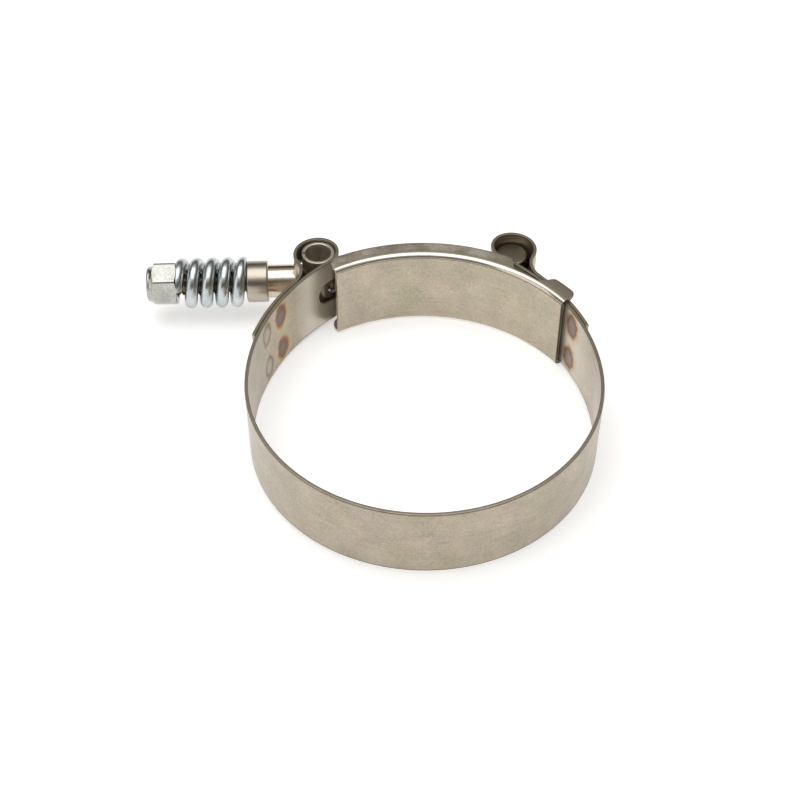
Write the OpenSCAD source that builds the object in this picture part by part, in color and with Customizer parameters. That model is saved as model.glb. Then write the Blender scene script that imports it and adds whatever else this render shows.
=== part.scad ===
// Spring-loaded T-bolt clamp for a hose joint.
// Frame: the ring's axis is Z, with z = 0 half-way up the band.
// The bolt runs along X outside the ring at +Y, its nut at -X and its T-head at +X.

/* [Band] */
// Diameter of the hose joint that the band grips
bore_d = 80; // [70:1:110]
// Width of the band, along the ring's axis
band_w = 19; // [16:0.5:25]
// Thickness of the band's strip
band_t = 0.8; // [0.6:0.1:1.2]
// Distance between the centres of the two loops
loop_span = 48; // [44:0.5:54]
// Inner radius of each loop's return side, which bows out wider than its closed side
bow_r = 5.3; // [5:0.1:6.5]
// Radius of the crease where a loop folds back onto the band
crease_r = 6; // [4:0.5:8]
// Angle from the middle of the gap to the end of each folded-back strap
strap_end_a = 69; // [66:1:74]
// Slit that stays between a folded-back strap and the band under it
lap_gap = 0.1; // [0.05:0.05:0.2]
// Diameter of each spot weld
weld_d = 4; // [3:0.25:5]
// Angle from the middle of the gap to the spot welds nearer to a loop
weld_near_a = 52.5; // [51:0.5:54]
// Angle from the middle of the gap to the spot welds nearer to a strap's end
weld_far_a = 62.5; // [58:0.5:63]
// Distance between the two spot welds of a column, along the ring's axis
weld_pitch = 10.5; // [7:0.5:11]
// Length that the bolt's slot runs on from each loop onto its leg, up to the slot's round end
slot_reach = 1; // [0.5:0.5:5]

/* [T-bolt] */
// Diameter of the bolt's shank
bolt_d = 6; // [5:0.5:7]
// Diameter of the crossbar that makes the T-head, and of the trunnion, which both fill their loops
pin_d = 8.2; // [8:0.1:9]
// Distance that the crossbar's ends stand back from the band's edges
crossbar_inset = 2.6; // [1:0.1:3.5]
// Length of the bolt that stands out of the nut
tip_l = 0.1; // [0.1:0.1:3]
// Chamfer on the crossbar's ends and on the bolt's tip
bolt_bevel = 0.6; // [0.3:0.1:0.9]

/* [Trunnion] */
// Sheet thickness of the rolled trunnion
trunnion_t = 0.9; // [0.7:0.05:1.2]
// Distance that the trunnion's ends stand back from the band's edges
trunnion_inset = 0.5; // [0.3:0.1:2]
// Width of the seam where the rolled sheet meets
seam_w = 0.5; // [0.3:0.1:0.9]

/* [Spacer] */
// Outer diameter of the spacer's tube
tube_d = 8.4; // [8:0.1:9]
// Length of the spacer's tube, from the trunnion to the collar
tube_l = 8.5; // [6:0.1:14]
// Diameter of the spacer's collar
collar_d = 10.4; // [10:0.1:13]
// Length of the spacer's collar
collar_l = 5.4; // [3:0.1:8]
// Rounding of the collar's rims
collar_round = 0.5; // [0.2:0.1:0.9]

/* [Spring] */
// Wire diameter of the spring
wire_d = 3.2; // [2:0.1:3.4]
// Length of the spring as fitted
spring_l = 17.3; // [16.5:0.1:26]
// Number of turns
spring_turns = 4.5; // [3.5:0.25:4.75]

/* [Lock nut] */
// Width of the nut across its flats
nut_af = 10; // [9.5:0.1:11]
// Length of the nut's hexagon
hex_l = 6; // [4:0.1:9]
// Length of the round collar over the plastic ring
nut_collar_l = 1.5; // [1:0.1:3]
// Wall of the round collar
nut_collar_wall = 0.6; // [0.4:0.1:0.8]

/* [Bridge] */
// Thickness of the bridge's sheet
bridge_t = 0.8; // [0.6:0.1:1]
// Depth of the bridge's flanges, with the sheet's thickness
flange_depth = 4.9; // [3.5:0.1:6]
// Outer radius of the bend into each flange
flange_bend_r = 1.4; // [1.2:0.1:1.8]
// Angle from the middle of the gap to the bridge's plain end
plain_end_a = 29; // [22:0.5:32]
// Angle from the middle of the gap to the start of the flange's notch
notch_start_a = 31; // [27:0.5:33]
// Angle from the middle of the gap to the end of the flange's notch
notch_end_a = 48; // [46:0.5:50]
// Width of the tabs beyond the notch, as an angle round the ring
tab_a = 9; // [7:0.5:10]
// Slope of the notch's sides, as an angle round the ring
notch_slope_a = 4; // [2:0.5:5]
// Height of the flange that is left above its bend in the notch
notch_lip = 0.1; // [0.1:0.1:1]
// Radius of the tabs' outer corners
tab_round = 2; // [1:0.25:2.5]
// Radius of the flanges' outer corners at the plain end
plain_round = 3; // [1:0.25:3.25]

/* [Clearances] */
// Gap round the crossbar and the trunnion in their loops
loop_gap = 0.25; // [0.1:0.05:0.4]
// Gap between the bolt and the pieces threaded over it
bolt_gap = 0.15; // [0.1:0.05:0.3]
// Gap between the bolt and the sides of its slots
slot_gap = 0.45; // [0.3:0.05:0.6]
// Gap between the bridge and the bolt, and between the bridge and the clamped bore
bridge_gap = 0.15; // [0.1:0.05:0.3]
// Gap between the bridge's flanges and the band's edges
flange_gap = 0.3; // [0.2:0.05:0.5]
// Gap left between pieces that butt together along the bolt
butt_gap = 0.05; // [0.02:0.01:0.1]

/* [Hidden] */
$fn = 96;

stainless = "#b9ad9c";
bright_steel = "#b5aa9a";
zinc = "#b8c2c6";
nylon = "#d8dadb";

// Ring and bridge radii, from the bore outwards
ring_r = bore_d / 2;
bridge_r = ring_r + bridge_gap;
bridge_out_r = bridge_r + bridge_t;
bolt_y = bridge_out_r + bridge_gap + bolt_d / 2;

// The loops wrap the crossbar and the trunnion, which are a little shorter than the band is wide
crossbar_l = band_w - 2 * crossbar_inset;
trunnion_l = band_w - 2 * trunnion_inset;
loop_in_r = pin_d / 2 + loop_gap;
loop_out_r = loop_in_r + band_t;
loop_x = loop_span / 2;

// Each leg leaves the ring at right angles to the gap and runs on a flatter arc.
// The arc ends where it touches the loop's outer circle.
leg_r = ((loop_x - ring_r) ^ 2 + bolt_y ^ 2 - loop_out_r ^ 2) / (2 * (loop_out_r + ring_r - loop_x));
leg_x = ring_r - leg_r;
leg_end = atan2(bolt_y, loop_x - leg_x);

// The folded-back strap lies on the leg, on an arc about the same centre
strap_r = leg_r + band_t + lap_gap;
strap_out_r = strap_r + band_t;

// The loop's return side is an arc that carries on from the loop's outermost point
bow_out_r = bow_r + band_t;
bow_y = bolt_y + loop_in_r - bow_r;

// The crease between bow and strap touches both of their outer circles
crease_to_bow = bow_out_r + crease_r;
crease_to_leg = strap_out_r + crease_r;
bow_to_leg = norm([loop_x - leg_x, bow_y]);
bow_a = atan2(bow_y, loop_x - leg_x);
crease_turn = acos((crease_to_leg ^ 2 + bow_to_leg ^ 2 - crease_to_bow ^ 2)
    / (2 * crease_to_leg * bow_to_leg));
crease_a = bow_a - crease_turn;
crease_c = [leg_x + crease_to_leg * cos(crease_a), crease_to_leg * sin(crease_a)];
bow_exit = atan2(crease_c.y - bow_y, crease_c.x - loop_x);

// Most that a chord of the strip's outline may leave its arc
chord_sag = 0.01;

// Slot for the shank and window for the spacer
slot_w = bolt_d + 2 * slot_gap;
window_w = tube_d + 2 * slot_gap;
slot_far_a = 50;
cut = 1;

// Places along the bolt, from the trunnion out to the bolt's tip
trunnion_x = -loop_x;
tube_end = trunnion_x - pin_d / 2 - butt_gap;
collar_in = tube_end - tube_l;
collar_out = collar_in - collar_l;
spring_out = collar_out - butt_gap - spring_l;
nut_in = spring_out - butt_gap;
hex_out = nut_in - hex_l;
nut_out = hex_out - nut_collar_l;
bolt_tip = nut_out - tip_l;
hole_d = bolt_d + 2 * bolt_gap;

// Turn of the nut at rest, which sets where its corners point, and the plastic ring in its collar
nut_turn_a = 44;
insert_d = nut_af - 3 * nut_collar_wall;
insert_l = nut_collar_l;
insert_out = nut_out + nut_collar_wall / 2;

// The spring's coil slides over the bolt
coil_r = bolt_d / 2 + bolt_gap + wire_d / 2;
coil_steps = 28;
wire_sides = 12;
coil_start_a = -70;

// Inner and outer half heights of the bridge's channel
channel_in = band_w / 2 + flange_gap;
channel_out = channel_in + bridge_t;
flange_r = bridge_r + flange_depth;
notch_r = bridge_r + flange_bend_r + notch_lip;
tab_end_a = notch_end_a + tab_a;

// Angle that a length takes up on an arc
function arc_angle(length, r) = length / r * 180 / PI;

// Point at a radius and at an angle measured from the middle of the gap towards the T-head
function at_gap_angle(r, a) = [r * sin(a), r * cos(a)];

// Points along an arc, without its last one
function arc(centre, r, from, to) =
    let (steps = ceil(abs(to - from) / (2 * acos(1 - chord_sag / r))))
    [for (i = [0 : steps - 1])
        let (a = from + (to - from) * i / steps)
        centre + r * [cos(a), sin(a)]];

// Angle about a leg's centre of the point on its outer face that lies at a gap angle
function on_leg(a) =
    let (lean = asin(leg_x * cos(a) / (leg_r + band_t)))
    90 - a + lean;

// Piece of a tube about Z, between two radii and two angles
module tube_arc(r_in, r_out, from, to, height) {
    rotate_extrude(angle = to - from, start = from)
        translate([r_in, -height / 2])
            square([r_out - r_in, height]);
}

// Round bar along X, between two places
module bar_x(d, from, to) {
    translate([from, bolt_y, 0])
        rotate([0, 90, 0])
            cylinder(d = d, h = to - from);
}

// Solid of revolution about the bolt; the profile's x is the radius and its y the place along X
module turned_on_bolt() {
    translate([0, bolt_y, 0])
        rotate([0, 90, 0])
            rotate_extrude()
                children();
}

// Leg, loop and folded-back strap of the band's T-head end.
// The outline runs out along one face of the strip and back along the other.
module band_end() {
    leg_c = [leg_x, 0];
    loop_c = [loop_x, bolt_y];
    bow_c = [loop_x, bow_y];
    end_a = on_leg(strap_end_a);
    out_face = concat(
        arc(leg_c, leg_r, 0, leg_end),
        arc(loop_c, loop_out_r, leg_end + 180, 90),
        arc(bow_c, bow_out_r, 90, bow_exit),
        arc(crease_c, crease_r, bow_exit + 180, crease_a + 180),
        arc(leg_c, strap_out_r, crease_a, end_a),
        [leg_c + strap_out_r * [cos(end_a), sin(end_a)]]);
    back_face = concat(
        arc(leg_c, strap_r, end_a, crease_a),
        arc(crease_c, crease_r + band_t, crease_a + 180, bow_exit + 180),
        arc(bow_c, bow_r, bow_exit, 90),
        arc(loop_c, loop_in_r, 90, leg_end + 180),
        arc(leg_c, leg_r + band_t, leg_end, 0),
        [leg_c + [leg_r + band_t, 0]]);
    translate([0, 0, -band_w / 2])
        linear_extrude(band_w)
            polygon(concat(out_face, back_face));
    for (a = [weld_near_a, weld_far_a], side = [-1, 1])
        translate([leg_x, 0, side * weld_pitch / 2])
            rotate([0, 90, on_leg(a)])
                translate([0, 0, leg_r + band_t / 2])
                    cylinder(d = weld_d, h = band_t + lap_gap);
}

// Slot that lets the shank through the closed side of the T-head end's loop.
// It starts on the loop's outer side and has a round end on the leg.
module shank_slot() {
    slot_leg_a = leg_end - arc_angle(slot_reach, leg_r);
    leg_dir = [cos(slot_leg_a), sin(slot_leg_a)];
    far_dir = [cos(180 - slot_far_a), sin(180 - slot_far_a)];
    loop_c = [loop_x, bolt_y];
    far = loop_c + (loop_out_r + cut) * far_dir;
    inside = [leg_x, 0] + (leg_r - cut) * leg_dir;
    outside = [leg_x, 0] + (leg_r + band_t + cut) * leg_dir;
    gap_x = loop_x - loop_out_r - cut;
    translate([0, 0, -slot_w / 2])
        linear_extrude(slot_w)
            polygon([loop_c, far, [gap_x, far.y], [gap_x, inside.y], inside, outside]);
    translate([leg_x, 0, 0])
        rotate([0, 90, slot_leg_a])
            translate([0, 0, leg_r - cut])
                cylinder(d = slot_w, h = band_t + 2 * cut);
}

module band() {
    color(stainless)
        difference() {
            union() {
                tube_arc(ring_r, ring_r + band_t, 180, 360, band_w);
                band_end();
                mirror([1, 0, 0])
                    band_end();
            }
            shank_slot();
            mirror([1, 0, 0])
                shank_slot();
            bar_x(window_w, -loop_x - bow_out_r - cut, -loop_x);
        }
}

// Half of the channel's section, x from the ring's axis and y along it
module channel_half() {
    bend_in_r = flange_bend_r - bridge_t;
    corner = [bridge_r + flange_bend_r, channel_out - flange_bend_r];
    translate([bridge_r, 0])
        square([bridge_t, corner.y]);
    translate([corner.x, channel_in])
        square([flange_r - corner.x, bridge_t]);
    intersection() {
        difference() {
            translate(corner)
                circle(r = flange_bend_r);
            translate(corner)
                circle(r = bend_in_r);
        }
        translate([bridge_r, corner.y])
            square(flange_bend_r);
    }
}

// Notch that frees the flanges round the T-head's loop
module flange_notch() {
    far_r = flange_r + cut;
    slope = notch_slope_a * (far_r - notch_r) / (flange_r - notch_r);
    translate([0, 0, -channel_out - cut])
        linear_extrude(2 * (channel_out + cut))
            polygon([
                at_gap_angle(notch_r, notch_start_a + notch_slope_a),
                at_gap_angle(far_r, notch_start_a + notch_slope_a - slope),
                at_gap_angle(far_r, notch_end_a - notch_slope_a + slope),
                at_gap_angle(notch_r, notch_end_a - notch_slope_a)]);
}

// What is rounded off the flanges' outer corner, for an end that lies at the middle of the gap
module flange_corner(r) {
    translate([-r, flange_r - r, -channel_out - cut])
        linear_extrude(2 * (channel_out + cut))
            difference() {
                square(r + cut);
                circle(r = r);
            }
}

module bridge() {
    color(stainless)
        difference() {
            rotate_extrude(angle = plain_end_a + tab_end_a, start = 90 - tab_end_a) {
                channel_half();
                mirror([0, 1])
                    channel_half();
            }
            flange_notch();
            rotate([0, 0, -tab_end_a])
                flange_corner(tab_round);
            rotate([0, 0, plain_end_a])
                mirror([1, 0, 0])
                    flange_corner(plain_round);
        }
}

// Cylinder along Z with bevelled rims, on the bolt's axis
module bevelled_pin(x, d, length, bevel) {
    translate([x, bolt_y, 0])
        rotate_extrude()
            polygon([[0, -length / 2], [d / 2 - bevel, -length / 2], [d / 2, -length / 2 + bevel],
                [d / 2, length / 2 - bevel], [d / 2 - bevel, length / 2], [0, length / 2]]);
}

module t_bolt() {
    color(bright_steel)
        union() {
            bevelled_pin(loop_x, pin_d, crossbar_l, bolt_bevel);
            turned_on_bolt()
                polygon([[0, bolt_tip], [bolt_d / 2 - bolt_bevel, bolt_tip],
                    [bolt_d / 2, bolt_tip + bolt_bevel], [bolt_d / 2, loop_x], [0, loop_x]]);
        }
}

module trunnion() {
    color(stainless)
        difference() {
            translate([trunnion_x, bolt_y, 0])
                tube_arc(pin_d / 2 - trunnion_t, pin_d / 2, 0, 360, trunnion_l);
            bar_x(hole_d, trunnion_x - pin_d, trunnion_x + pin_d);
            translate([trunnion_x - pin_d, bolt_y - seam_w / 2, -trunnion_l])
                cube([pin_d, seam_w, 2 * trunnion_l]);
        }
}

// Profile of the collar, with both rims rounded
module collar_profile() {
    rim = collar_d / 2 - collar_round;
    translate([hole_d / 2, collar_out])
        square([rim - hole_d / 2, collar_l]);
    translate([hole_d / 2, collar_out + collar_round])
        square([(collar_d - hole_d) / 2, collar_l - 2 * collar_round]);
    for (x = [collar_out + collar_round, collar_in - collar_round])
        translate([rim, x])
            circle(r = collar_round, $fn = 32);
}

module spacer() {
    color(stainless)
        turned_on_bolt() {
            collar_profile();
            translate([hole_d / 2, collar_in - collar_round])
                square([(tube_d - hole_d) / 2, tube_l + collar_round]);
        }
}

// Left-handed coil with its end turns ground flat
module spring() {
    rings = floor(spring_turns * coil_steps);
    function coil_a(s) = coil_start_a + 360 * spring_turns * s;
    function along(s, b) = min(max(spring_l * s + wire_d / 2 * sin(b), 0), spring_l);
    function out(b) = coil_r + wire_d / 2 * cos(b);
    function on_coil(a, r, x) = [spring_out + x, bolt_y + r * sin(a), r * cos(a)];
    skin = [
        for (i = [0 : rings])
            for (j = [0 : wire_sides - 1])
                let (s = i / rings, b = 360 * j / wire_sides)
                on_coil(coil_a(s), out(b), along(s, b))];
    tips = [on_coil(coil_a(0), coil_r, wire_d / 4), on_coil(coil_a(1), coil_r, spring_l - wire_d / 4)];
    last = rings * wire_sides;
    tip = len(skin);
    sides = [
        for (i = [0 : rings - 1])
            for (j = [0 : wire_sides - 1])
                let (k = (j + 1) % wire_sides, p = i * wire_sides, q = p + wire_sides)
                each [[p + j, q + j, q + k], [p + j, q + k, p + k]]];
    ends = [
        for (j = [0 : wire_sides - 1])
            let (k = (j + 1) % wire_sides)
            each [[tip, j, k], [tip + 1, last + k, last + j]]];
    color(zinc)
        polyhedron(concat(skin, tips), concat(sides, ends), convexity = 10);
}

// Hexagon with its corners turned off at both ends, and the collar over the plastic ring
module nut_blank() {
    corner_r = nut_af / 2 / cos(30);
    drop = (corner_r - nut_af / 2) * tan(30);
    collar_r = nut_af / 2 - nut_collar_wall / 2;
    intersection() {
        translate([hex_out, bolt_y, 0])
            rotate([0, 90, 0])
                rotate(nut_turn_a)
                    cylinder(r = corner_r, h = hex_l, $fn = 6);
        turned_on_bolt()
            polygon([[0, hex_out], [nut_af / 2, hex_out], [corner_r, hex_out + drop],
                [corner_r, nut_in - drop], [nut_af / 2, nut_in], [0, nut_in]]);
    }
    turned_on_bolt() {
        translate([0, nut_out])
            square([collar_r - nut_collar_wall, nut_collar_l + cut]);
        translate([0, nut_out + nut_collar_wall])
            square([collar_r, nut_collar_l - nut_collar_wall + cut]);
        translate([collar_r - nut_collar_wall, nut_out + nut_collar_wall])
            circle(r = nut_collar_wall, $fn = 32);
    }
}

module lock_nut() {
    color(zinc)
        difference() {
            nut_blank();
            bar_x(hole_d, nut_out - cut, nut_in + cut);
            bar_x(insert_d, insert_out, insert_out + insert_l);
            bar_x(insert_d - 2 * nut_collar_wall, nut_out - cut, nut_out + nut_collar_wall);
        }
}

module nut_insert() {
    color(nylon)
        difference() {
            bar_x(insert_d, insert_out, insert_out + insert_l);
            bar_x(hole_d, nut_out - cut, nut_in + cut);
        }
}

band();
bridge();
t_bolt();
trunnion();
spacer();
spring();
lock_nut();
nut_insert();
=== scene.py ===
import math

import bmesh
import bpy
import numpy as np
from mathutils import Matrix, Vector


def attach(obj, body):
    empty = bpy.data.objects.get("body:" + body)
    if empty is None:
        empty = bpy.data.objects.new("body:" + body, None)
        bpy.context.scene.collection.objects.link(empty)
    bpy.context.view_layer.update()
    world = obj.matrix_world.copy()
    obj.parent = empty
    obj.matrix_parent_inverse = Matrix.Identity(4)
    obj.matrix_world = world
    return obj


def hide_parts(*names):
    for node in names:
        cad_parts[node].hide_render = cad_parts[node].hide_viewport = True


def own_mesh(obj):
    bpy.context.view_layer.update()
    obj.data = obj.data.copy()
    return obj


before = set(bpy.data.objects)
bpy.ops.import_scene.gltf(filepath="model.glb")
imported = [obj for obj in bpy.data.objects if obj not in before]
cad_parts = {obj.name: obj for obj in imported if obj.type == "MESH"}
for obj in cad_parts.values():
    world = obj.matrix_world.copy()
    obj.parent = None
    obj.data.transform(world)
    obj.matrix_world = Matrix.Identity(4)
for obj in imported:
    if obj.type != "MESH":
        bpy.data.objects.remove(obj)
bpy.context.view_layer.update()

# Spring-loaded T-bolt clamp. Lengths are in millimetres up to the moment a mesh is made.
# The ring's axis is Z, the bolt runs along X outside the ring at +Y. The sizes are those of the solids.
MM = 0.001

# Band: a strip bent to a ring, with a loop at either end. The angles of strap and welds are counted from the
# middle of the gap, the slot's about the loop's centre
RING_R = 40.0
BAND_W = 19.0
BAND_T = 0.8
HALF_T = BAND_T / 2
BAND_EDGE_R = 0.1
LOOP_X = 24.0
LOOP_PLAY = 0.25
BOW_R = 5.3
CREASE_R = 6.0
STRAP_END_A = 69.0
LAP_GAP = 0.1
WELD_NEAR_A = 52.5
WELD_FAR_A = 62.5
WELD_PITCH = 10.5
SLOT_REACH = 1.0
SLOT_W = 6.9
SLOT_FAR_A = 50.0
SLOT_CORNER = 0.8
WINDOW_W = 9.3

# T-bolt and trunnion
BOLT_R = 3.0
BOLT_Y = 44.1
BOLT_PLAY = 0.15
HOLE_R = BOLT_R + BOLT_PLAY
THREAD_PITCH = 1.0
THREAD_DEPTH = 0.6
THREAD_END = -6.0
PIN_R = 4.1
CROSSBAR_L = 13.8
TRUNNION_L = 18.0
TRUNNION_T = 0.9
TRUNNION_EDGE_R = 0.2
SEAM_W = 0.5
LOOP_IN_R = PIN_R + LOOP_PLAY

# Bridge: a channel of sheet under the gap
BRIDGE_PLAY = 0.15
BRIDGE_R = RING_R + BRIDGE_PLAY
BRIDGE_T = 0.8
FLANGE_BEND_R = 1.4
FLANGE_H = 4.9
FLANGE_R = BRIDGE_R + FLANGE_H
CHANNEL_OUT = 10.6
PLAIN_END_A = 29.0
TAB_END_A = 57.0
NOTCH_START_A = 31.0
NOTCH_END_A = 48.0
NOTCH_SLOPE_A = 4.0
NOTCH_RIM = 0.1
TAB_ROUND = 2.0
PLAIN_ROUND = 3.0

# Spacer, spring and lock nut
TUBE_L = 8.5
TUBE_R = 4.2
COLLAR_L = 5.4
COLLAR_R = 5.2
COLLAR_ROUND = 0.5
SPRING_L = 17.3
SPRING_TURNS = 4.5
WIRE_R = 1.6
COIL_R = HOLE_R + WIRE_R
COIL_START_A = -70.0
NUT_AF = 10.0
HEX_L = 6.0
NUT_COLLAR_L = 1.5
NUT_WALL = 0.6
NUT_SEAT_R = (NUT_AF - 3 * NUT_WALL) / 2
NUT_TURN_A = 44.0

# Places along the bolt, from the trunnion outwards
SEAT_GAP = 0.05
TIP_REACH = 0.1
TUBE_END = -LOOP_X - PIN_R - SEAT_GAP
COLLAR_IN = TUBE_END - TUBE_L
COLLAR_OUT = COLLAR_IN - COLLAR_L
SPRING_IN = COLLAR_OUT - SEAT_GAP
SPRING_OUT = SPRING_IN - SPRING_L
NUT_IN = SPRING_OUT - SEAT_GAP
HEX_OUT = NUT_IN - HEX_L
NUT_OUT = HEX_OUT - NUT_COLLAR_L
BOLT_TIP = NUT_OUT - TIP_REACH

# Share of its thickness that a strip keeps at a sheared end
SHEARED_SHARE = 0.7
# Points nearer than this, in metres, are merged
MERGE_M = 1e-7


# Meshes

def loop_faces(rows, cols):
    """Quads of a grid of closed rings: each ring has cols points and joins on to the next ring."""
    i, j = np.meshgrid(np.arange(rows - 1), np.arange(cols), indexing="ij")
    k = (j + 1) % cols
    return np.stack([i * cols + j, i * cols + k, (i + 1) * cols + k, (i + 1) * cols + j], -1).reshape(-1, 4)


def end_caps(rows, cols):
    """Polygons that close the first and the last ring of such a grid."""
    return [np.arange(cols), np.arange(cols) + (rows - 1) * cols]


def make_piece(name, parts, body, node, material, sharp=32.0, attributes=None):
    """One object from a list of (points in mm, quads, polygons), joined, its doubles merged and its faces
    turned outwards."""
    points = np.concatenate([p.reshape(-1, 3) for p, _, _ in parts])
    faces = []
    start = 0
    for p, quads, caps in parts:
        faces += (quads + start).tolist()
        faces += [(c + start).tolist() for c in caps]
        start += p.reshape(-1, 3).shape[0]
    mesh = bpy.data.meshes.new(name)
    mesh.from_pydata((points * MM).tolist(), [], faces)
    for key, values in (attributes or {}).items():
        kind = "FLOAT" if values.ndim == 1 else "FLOAT_VECTOR"
        field = "value" if values.ndim == 1 else "vector"
        mesh.attributes.new(key, kind, "POINT").data.foreach_set(field, values.astype(np.float32).ravel())
    joined = bmesh.new()
    joined.from_mesh(mesh)
    bmesh.ops.remove_doubles(joined, verts=joined.verts, dist=MERGE_M)
    bmesh.ops.recalc_face_normals(joined, faces=joined.faces)
    joined.to_mesh(mesh)
    joined.free()
    mesh.shade_smooth()
    mesh.set_sharp_from_angle(angle=math.radians(sharp))
    mesh.materials.append(material)
    piece = bpy.data.objects.new(name, mesh)
    bpy.context.scene.collection.objects.link(piece)
    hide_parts(node)
    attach(piece, body)
    return piece


def ring_angles(sides):
    """Evenly spread angles of a closed ring, in radians."""
    return np.linspace(0, 2 * np.pi, sides, endpoint=False)


def about_bolt(x, r, a):
    """Points about the bolt's axis: the place along X, and the radius at an angle that turns from Z to Y."""
    x, r, a = np.broadcast_arrays(x, r, a)
    return np.stack([x, BOLT_Y + r * np.sin(a), r * np.cos(a)], -1)


def turned(profile, sides=96):
    """Closed solid turned about the bolt: profile is a closed line of (radius, place along X), carried round
    the bolt's axis."""
    rings = about_bolt(profile[:, 1], profile[:, 0], ring_angles(sides)[:, None])
    rings = np.concatenate([rings, rings[:1]])
    return rings, loop_faces(sides + 1, len(profile)), []


def corner(centre, radius, start, end, steps=6):
    """Points of a small rounding: an arc about a centre between two angles."""
    a = np.radians(np.linspace(start, end, steps))
    return np.stack([centre[0] + radius * np.cos(a), centre[1] + radius * np.sin(a)], -1)


def sheared(count):
    """Shares of the full thickness along a strip of count points: 1, and less at both sheared ends."""
    shares = np.ones(count)
    shares[[0, -1]] = SHEARED_SHARE
    return shares


def strip(place, heading, thick, half_w, hole, across, edge_r):
    """Sheet strip on a path: at each path point the section is a rectangle with rounded long edges, the
    path's left normal times plus or minus half the thickness and z from the hole's edge to the strip's edge.
    The strip is made as an upper and a lower half that meet at z = 0 where there is no hole."""
    round_steps = 3
    smallest_hole = 1e-6
    left = np.stack([-heading[:, 1], heading[:, 0]], -1)
    half_t = thick[:, None] / 2
    hole_z = hole[:, None]
    v = np.linspace(0, 1, across)
    z_edge = half_w - edge_r
    round_a = np.radians(np.linspace(90, 0, round_steps + 1))[1:]
    round_off = half_t - edge_r + edge_r * np.sin(round_a)
    round_z = z_edge + edge_r * np.cos(round_a)
    round_z = np.concatenate([round_z, round_z[::-1]])
    z = np.concatenate([
        hole_z + (z_edge - hole_z) * v,
        np.broadcast_to(round_z, (len(place), len(round_z))),
        hole_z + (z_edge - hole_z) * v[::-1]], 1)
    off = np.concatenate([
        np.repeat(half_t, across, 1), round_off, -round_off[:, ::-1], np.repeat(-half_t, across, 1)], 1)
    xy = place[:, None, :] + off[:, :, None] * left[:, None, :]
    upper = np.concatenate([xy, z[:, :, None]], -1)
    lower = upper * (1, 1, -1)
    rows, cols = z.shape
    open_row = hole > smallest_hole
    keep = np.ones((rows - 1, cols), bool)
    keep[:, -1] = open_row[:-1] | open_row[1:]
    quads = loop_faces(rows, cols).reshape(rows - 1, cols, 4)[keep]
    caps = end_caps(rows, cols)
    return [(upper, quads, caps), (lower, quads[:, ::-1], caps)], z


def both_halves(values):
    """Values on a strip's upper half, repeated for its lower half."""
    return np.tile(values.ravel(), 2)


# The path of the band's end: leg, closed side of the loop, its bowed return side, crease and strap

LOOP_OUT_R = LOOP_IN_R + BAND_T
LEG_R = ((LOOP_X - RING_R) ** 2 + BOLT_Y ** 2 - LOOP_OUT_R ** 2) / (2 * (LOOP_OUT_R + RING_R - LOOP_X))
LEG_X = RING_R - LEG_R
LEG_END = math.degrees(math.atan2(BOLT_Y, LOOP_X - LEG_X))
STRAP_R = LEG_R + BAND_T + LAP_GAP
BOW_Y = BOLT_Y + LOOP_IN_R - BOW_R
# The crease's centre is the far corner of a triangle on the centres of the bow and the leg
bow_to_crease = BOW_R + BAND_T + CREASE_R
leg_to_crease = STRAP_R + BAND_T + CREASE_R
leg_to_bow = math.hypot(LOOP_X - LEG_X, BOW_Y)
crease_lean = math.acos(
    (leg_to_crease ** 2 + leg_to_bow ** 2 - bow_to_crease ** 2) / (2 * leg_to_crease * leg_to_bow))
crease_turn = math.atan2(BOW_Y, LOOP_X - LEG_X) - crease_lean
CREASE_A = math.degrees(crease_turn)
CREASE_X = LEG_X + leg_to_crease * math.cos(crease_turn)
CREASE_Y = leg_to_crease * math.sin(crease_turn)
BOW_EXIT = math.degrees(math.atan2(CREASE_Y - BOW_Y, CREASE_X - LOOP_X))


def on_leg(gap_a):
    """Angle about the leg's centre of the point of its outer face that lies at an angle from the gap."""
    lean = math.degrees(math.asin(LEG_X * math.cos(math.radians(gap_a)) / (LEG_R + BAND_T)))
    return 90 - gap_a + lean


# Each arc as its centre, its radius and its first and last angle
END_ARCS = [
    ((LEG_X, 0.0), LEG_R + HALF_T, 0.0, LEG_END),
    ((LOOP_X, BOLT_Y), LOOP_IN_R + HALF_T, LEG_END + 180, 90.0),
    ((LOOP_X, BOW_Y), BOW_R + HALF_T, 90.0, BOW_EXIT),
    ((CREASE_X, CREASE_Y), CREASE_R + HALF_T, BOW_EXIT + 180, CREASE_A + 180),
    ((LEG_X, 0.0), STRAP_R + HALF_T, CREASE_A, on_leg(STRAP_END_A)),
]
ARC_LENGTHS = np.array([r * math.radians(abs(b - a)) for _, r, a, b in END_ARCS])
ARC_STARTS = np.concatenate([[0], np.cumsum(ARC_LENGTHS)])
# Distances from the ring at which the loop, its bow and the strap begin, and at which the band ends
LOOP_S, BOW_S, STRAP_S, END_S = ARC_STARTS[[1, 2, 4, 5]]


def leg_s(gap_a):
    """Distance from the ring along the leg to the point at an angle from the gap."""
    return (LEG_R + HALF_T) * math.radians(on_leg(gap_a))


def strap_s(gap_a):
    """Distance from the ring round the loop and along the strap to the point at an angle from the gap."""
    return STRAP_S + (STRAP_R + HALF_T) * math.radians(CREASE_A - on_leg(gap_a))


def walk_end(s):
    """Place and direction at each distance s from the ring along the band's T-head end: each arc of the
    path is its centre plus its radius at an angle that grows evenly with s."""
    i = np.clip(np.searchsorted(ARC_STARTS, s, side="right") - 1, 0, len(END_ARCS) - 1)
    centre, radius, first, last = (np.array(column)[i] for column in zip(*END_ARCS))
    part = (s - ARC_STARTS[i]) / ARC_LENGTHS[i]
    a = np.radians(first + (last - first) * part)
    turn = np.sign(last - first)
    place = centre + radius[:, None] * np.stack([np.cos(a), np.sin(a)], -1)
    heading = turn[:, None] * np.stack([-np.sin(a), np.cos(a)], -1)
    return place, heading


# Node trees

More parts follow.
